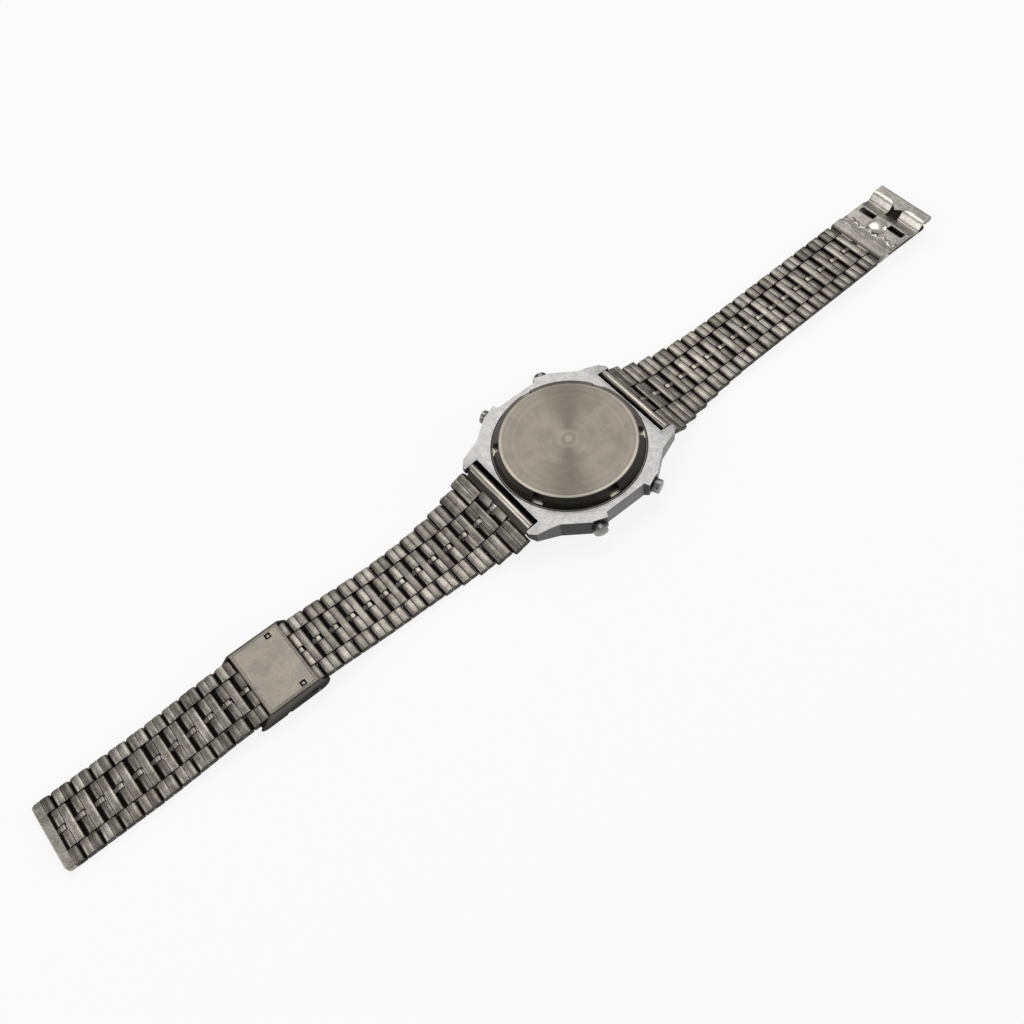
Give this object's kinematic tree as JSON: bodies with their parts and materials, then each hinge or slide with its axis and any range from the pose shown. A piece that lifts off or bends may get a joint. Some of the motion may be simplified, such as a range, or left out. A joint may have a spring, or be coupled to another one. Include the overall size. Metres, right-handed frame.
{
  "type": "digital wristwatch",
  "caption": "Steel digital wristwatch lying face down, with an octagonal case, a slotted round case back, push buttons, a folded brick-link bracelet and a sliding clasp.",
  "frame": {"origin": "middle of the head on the bezel's front face, which the watch rests on", "axes": "+X along the bracelet towards the hook plate, +Y across the bracelet, +Z out of the case back"},
  "size_m": [0.2089, 0.0362, 0.0082],
  "materials": {
    "bracelet_steel": "brushed stainless steel, darkened in the seams by wear",
    "case_steel": "worn bright plating with fine scratches",
    "back_steel": "spun stainless steel, warm grey",
    "clasp_steel": "pressed stainless steel sheet",
    "hook_steel": "pressed stainless steel sheet, polished by use",
    "pusher_steel": "turned and polished",
    "spring_steel": "drawn wire, plain",
    "cell_steel": "nickel plated can",
    "black_rubber": "matte",
    "crystal_glass": "clear, polished",
    "display_glass": "grey-green liquid crystal glass",
    "dial_print": "printed dark mask",
    "module_plastic": "moulded black plastic",
    "board_green": "green lacquered board"
  },
  "bodies": {
    "case": {"case": "case_steel", "case_back": "back_steel", "back_gasket": "black_rubber", "crystal": "crystal_glass", "dial_mask": "dial_print", "lcd_panel": "display_glass", "module_frame": "module_plastic", "circuit_board": "board_green", "battery": "cell_steel", "pusher_springs": "spring_steel", "spring_bars": "spring_steel"},
    "left_end_link": {"left_end_link": "bracelet_steel"},
    "left_link_1": {"left_link_1": "bracelet_steel"},
    "left_link_2": {"left_link_2": "bracelet_steel"},
    "left_link_3": {"left_link_3": "bracelet_steel"},
    "left_link_4": {"left_link_4": "bracelet_steel"},
    "left_link_5": {"left_link_5": "bracelet_steel"},
    "left_link_6": {"left_link_6": "bracelet_steel"},
    "left_link_7": {"left_link_7": "bracelet_steel"},
    "left_link_8": {"left_link_8": "bracelet_steel"},
    "left_link_9": {"left_link_9": "bracelet_steel"},
    "left_link_10": {"left_link_10": "bracelet_steel"},
    "left_link_11": {"left_link_11": "bracelet_steel"},
    "left_link_12": {"left_link_12": "bracelet_steel"},
    "clasped_links": {"clasped_links": "bracelet_steel"},
    "left_link_13": {"left_link_13": "bracelet_steel"},
    "left_link_14": {"left_link_14": "bracelet_steel"},
    "left_link_15": {"left_link_15": "bracelet_steel"},
    "left_link_16": {"left_link_16": "bracelet_steel"},
    "left_link_17": {"left_link_17": "bracelet_steel"},
    "left_link_18": {"left_link_18": "bracelet_steel"},
    "left_link_19": {"left_link_19": "bracelet_steel"},
    "left_link_20": {"left_link_20": "bracelet_steel"},
    "left_link_21": {"left_link_21": "bracelet_steel"},
    "end_frame": {"end_frame": "bracelet_steel"},
    "right_end_link": {"right_end_link": "bracelet_steel"},
    "right_link_1": {"right_link_1": "bracelet_steel"},
    "right_link_2": {"right_link_2": "bracelet_steel"},
    "right_link_3": {"right_link_3": "bracelet_steel"},
    "right_link_4": {"right_link_4": "bracelet_steel"},
    "right_link_5": {"right_link_5": "bracelet_steel"},
    "right_link_6": {"right_link_6": "bracelet_steel"},
    "right_link_7": {"right_link_7": "bracelet_steel"},
    "right_link_8": {"right_link_8": "bracelet_steel"},
    "right_link_9": {"right_link_9": "bracelet_steel"},
    "right_link_10": {"right_link_10": "bracelet_steel"},
    "right_link_11": {"right_link_11": "bracelet_steel"},
    "right_link_12": {"right_link_12": "bracelet_steel"},
    "right_link_13": {"right_link_13": "bracelet_steel"},
    "right_link_14": {"right_link_14": "bracelet_steel"},
    "right_link_15": {"right_link_15": "bracelet_steel"},
    "right_link_16": {"right_link_16": "bracelet_steel"},
    "right_link_17": {"right_link_17": "bracelet_steel"},
    "hook_plate": {"hook_plate": "hook_steel"},
    "clasp_frame": {"clasp_frame": "clasp_steel"},
    "clasp_cover": {"clasp_cover": "clasp_steel"},
    "pusher_1": {"pusher_1": "pusher_steel"},
    "pusher_2": {"pusher_2": "pusher_steel"},
    "pusher_3": {"pusher_3": "pusher_steel"},
    "pusher_4": {"pusher_4": "pusher_steel"}
  },
  "joints": [
    {"name": "left_end_link_turn", "type": "hinge", "parent": "case", "child": "left_end_link", "pos_m": [-0.0166, 0, 0.0052], "axis": [0, 1, 0], "range_deg": [-8, 57]},
    {"name": "left_link_1_turn", "type": "hinge", "parent": "left_end_link", "child": "left_link_1", "pos_m": [-0.01883, 0, 0.00319], "axis": [0, 1, 0], "range_deg": [-28, 2]},
    {"name": "left_link_2_turn", "type": "hinge", "parent": "left_link_1", "child": "left_link_2", "pos_m": [-0.02226, 0, 0.00194], "axis": [0, 1, 0], "range_deg": [-14, 4]},
    {"name": "left_link_3_turn", "type": "hinge", "parent": "left_link_2", "child": "left_link_3", "pos_m": [-0.02583, 0, 0.00119], "axis": [0, 1, 0], "range_deg": [-12, 6]},
    {"name": "left_link_4_turn", "type": "hinge", "parent": "left_link_3", "child": "left_link_4", "pos_m": [-0.02946, 0, 0.0008], "axis": [0, 1, 0], "range_deg": [-10.2, 7.8]},
    {"name": "left_link_5_turn", "type": "hinge", "parent": "left_link_4", "child": "left_link_5", "pos_m": [-0.03311, 0, 0.00069], "axis": [0, 1, 0], "range_deg": [-7.8, 10.2]},
    {"name": "left_link_6_turn", "type": "hinge", "parent": "left_link_5", "child": "left_link_6", "pos_m": [-0.03676, 0, 0.00069], "axis": [0, 1, 0], "range_deg": [-6, 12]},
    {"name": "left_link_7_turn", "type": "hinge", "parent": "left_link_6", "child": "left_link_7", "pos_m": [-0.04041, 0, 0.00069], "axis": [0, 1, 0], "range_deg": [-6, 12]},
    {"name": "left_link_8_turn", "type": "hinge", "parent": "left_link_7", "child": "left_link_8", "pos_m": [-0.04406, 0, 0.00069], "axis": [0, 1, 0], "range_deg": [-9, 9]},
    {"name": "left_link_9_turn", "type": "hinge", "parent": "left_link_8", "child": "left_link_9", "pos_m": [-0.0477, 0, 0.00088], "axis": [0, 1, 0], "range_deg": [-8, 10]},
    {"name": "left_link_10_turn", "type": "hinge", "parent": "left_link_9", "child": "left_link_10", "pos_m": [-0.05134, 0, 0.0012], "axis": [0, 1, 0], "range_deg": [-7, 11]},
    {"name": "left_link_11_turn", "type": "hinge", "parent": "left_link_10", "child": "left_link_11", "pos_m": [-0.05497, 0, 0.00158], "axis": [0, 1, 0], "range_deg": [-5, 13]},
    {"name": "left_link_12_turn", "type": "hinge", "parent": "left_link_11", "child": "left_link_12", "pos_m": [-0.0586, 0, 0.0019], "axis": [0, 1, 0], "range_deg": [-3.5, 14.5]},
    {"name": "clasped_links_turn", "type": "hinge", "parent": "left_link_12", "child": "clasped_links", "pos_m": [-0.06225, 0, 0.00206], "axis": [0, 1, 0], "range_deg": [-3.5, 14.5]},
    {"name": "left_link_13_turn", "type": "hinge", "parent": "clasped_links", "child": "left_link_13", "pos_m": [-0.07745, 0, 0.00206], "axis": [0, 1, 0], "range_deg": [-3, 15]},
    {"name": "left_link_14_turn", "type": "hinge", "parent": "left_link_13", "child": "left_link_14", "pos_m": [-0.0811, 0, 0.00187], "axis": [0, 1, 0], "range_deg": [-3, 15]},
    {"name": "left_link_15_turn", "type": "hinge", "parent": "left_link_14", "child": "left_link_15", "pos_m": [-0.08473, 0, 0.00148], "axis": [0, 1, 0], "range_deg": [-6, 12]},
    {"name": "left_link_16_turn", "type": "hinge", "parent": "left_link_15", "child": "left_link_16", "pos_m": [-0.08836, 0, 0.0011], "axis": [0, 1, 0], "range_deg": [-7.5, 10.5]},
    {"name": "left_link_17_turn", "type": "hinge", "parent": "left_link_16", "child": "left_link_17", "pos_m": [-0.092, 0, 0.00082], "axis": [0, 1, 0], "range_deg": [-8, 10]},
    {"name": "left_link_18_turn", "type": "hinge", "parent": "left_link_17", "child": "left_link_18", "pos_m": [-0.09564, 0, 0.00066], "axis": [0, 1, 0], "range_deg": [-8.5, 9.5]},
    {"name": "left_link_19_turn", "type": "hinge", "parent": "left_link_18", "child": "left_link_19", "pos_m": [-0.09929, 0, 0.00066], "axis": [0, 1, 0], "range_deg": [-6, 12]},
    {"name": "left_link_20_turn", "type": "hinge", "parent": "left_link_19", "child": "left_link_20", "pos_m": [-0.10294, 0, 0.00066], "axis": [0, 1, 0], "range_deg": [-6, 12]},
    {"name": "left_link_21_turn", "type": "hinge", "parent": "left_link_20", "child": "left_link_21", "pos_m": [-0.10659, 0, 0.00066], "axis": [0, 1, 0], "range_deg": [-6, 12]},
    {"name": "end_frame_turn", "type": "hinge", "parent": "left_link_21", "child": "end_frame", "pos_m": [-0.11024, 0, 0.00066], "axis": [0, 1, 0], "range_deg": [-6, 12]},
    {"name": "right_end_link_turn", "type": "hinge", "parent": "case", "child": "right_end_link", "pos_m": [0.0166, 0, 0.0052], "axis": [0, 1, 0], "range_deg": [-58, 7]},
    {"name": "right_link_1_turn", "type": "hinge", "parent": "right_end_link", "child": "right_link_1", "pos_m": [0.01879, 0, 0.00315], "axis": [0, 1, 0], "range_deg": [-1, 29]},
    {"name": "right_link_2_turn", "type": "hinge", "parent": "right_link_1", "child": "right_link_2", "pos_m": [0.02222, 0, 0.00191], "axis": [0, 1, 0], "range_deg": [-2, 16]},
    {"name": "right_link_3_turn", "type": "hinge", "parent": "right_link_2", "child": "right_link_3", "pos_m": [0.02582, 0, 0.00127], "axis": [0, 1, 0], "range_deg": [-5, 13]},
    {"name": "right_link_4_turn", "type": "hinge", "parent": "right_link_3", "child": "right_link_4", "pos_m": [0.02946, 0, 0.00108], "axis": [0, 1, 0], "range_deg": [-9, 9]},
    {"name": "right_link_5_turn", "type": "hinge", "parent": "right_link_4", "child": "right_link_5", "pos_m": [0.03311, 0, 0.00108], "axis": [0, 1, 0], "range_deg": [-11.5, 6.5]},
    {"name": "right_link_6_turn", "type": "hinge", "parent": "right_link_5", "child": "right_link_6", "pos_m": [0.03676, 0, 0.00111], "axis": [0, 1, 0], "range_deg": [-11.5, 6.5]},
    {"name": "right_link_7_turn", "type": "hinge", "parent": "right_link_6", "child": "right_link_7", "pos_m": [0.04041, 0, 0.00118], "axis": [0, 1, 0], "range_deg": [-11.5, 6.5]},
    {"name": "right_link_8_turn", "type": "hinge", "parent": "right_link_7", "child": "right_link_8", "pos_m": [0.04406, 0, 0.00127], "axis": [0, 1, 0], "range_deg": [-11.5, 6.5]},
    {"name": "right_link_9_turn", "type": "hinge", "parent": "right_link_8", "child": "right_link_9", "pos_m": [0.04771, 0, 0.0014], "axis": [0, 1, 0], "range_deg": [-12, 6]},
    {"name": "right_link_10_turn", "type": "hinge", "parent": "right_link_9", "child": "right_link_10", "pos_m": [0.05136, 0, 0.00153], "axis": [0, 1, 0], "range_deg": [-12, 6]},
    {"name": "right_link_11_turn", "type": "hinge", "parent": "right_link_10", "child": "right_link_11", "pos_m": [0.055, 0, 0.00165], "axis": [0, 1, 0], "range_deg": [-12, 6]},
    {"name": "right_link_12_turn", "type": "hinge", "parent": "right_link_11", "child": "right_link_12", "pos_m": [0.05865, 0, 0.00178], "axis": [0, 1, 0], "range_deg": [-12, 6]},
    {"name": "right_link_13_turn", "type": "hinge", "parent": "right_link_12", "child": "right_link_13", "pos_m": [0.0623, 0, 0.00191], "axis": [0, 1, 0], "range_deg": [-12, 6]},
    {"name": "right_link_14_turn", "type": "hinge", "parent": "right_link_13", "child": "right_link_14", "pos_m": [0.06595, 0, 0.00204], "axis": [0, 1, 0], "range_deg": [-12, 6]},
    {"name": "right_link_15_turn", "type": "hinge", "parent": "right_link_14", "child": "right_link_15", "pos_m": [0.0696, 0, 0.00216], "axis": [0, 1, 0], "range_deg": [-12, 6]},
    {"name": "right_link_16_turn", "type": "hinge", "parent": "right_link_15", "child": "right_link_16", "pos_m": [0.07324, 0, 0.00229], "axis": [0, 1, 0], "range_deg": [-12, 6]},
    {"name": "right_link_17_turn", "type": "hinge", "parent": "right_link_16", "child": "right_link_17", "pos_m": [0.07689, 0, 0.00242], "axis": [0, 1, 0], "range_deg": [-12, 6]},
    {"name": "hook_plate_turn", "type": "hinge", "parent": "right_link_17", "child": "hook_plate", "pos_m": [0.08054, 0, 0.00255], "axis": [0, 1, 0], "range_deg": [-12, 6]},
    {"name": "clasp_slide", "type": "slide", "parent": "clasped_links", "child": "clasp_frame", "axis": [-1, 0, 0], "range_m": [-0.001, 0.0015]},
    {"name": "clasp_cover_turn", "type": "hinge", "parent": "clasp_frame", "child": "clasp_cover", "pos_m": [-0.06364, 0, 0.00064], "axis": [0, 1, 0], "range_deg": [-95, 0]},
    {"name": "pusher_1_press", "type": "slide", "parent": "case", "child": "pusher_1", "axis": [-0.3827, -0.9239, 0], "range_m": [0, 0.0008], "stiffness_N_per_m": 600, "springref_m": -0.001},
    {"name": "pusher_2_press", "type": "slide", "parent": "case", "child": "pusher_2", "axis": [0.3827, -0.9239, 0], "range_m": [0, 0.0008], "stiffness_N_per_m": 600, "springref_m": -0.001},
    {"name": "pusher_3_press", "type": "slide", "parent": "case", "child": "pusher_3", "axis": [0.3827, 0.9239, 0], "range_m": [0, 0.0008], "stiffness_N_per_m": 600, "springref_m": -0.001},
    {"name": "pusher_4_press", "type": "slide", "parent": "case", "child": "pusher_4", "axis": [-0.3827, 0.9239, 0], "range_m": [0, 0.0008], "stiffness_N_per_m": 600, "springref_m": -0.001}
  ]
}
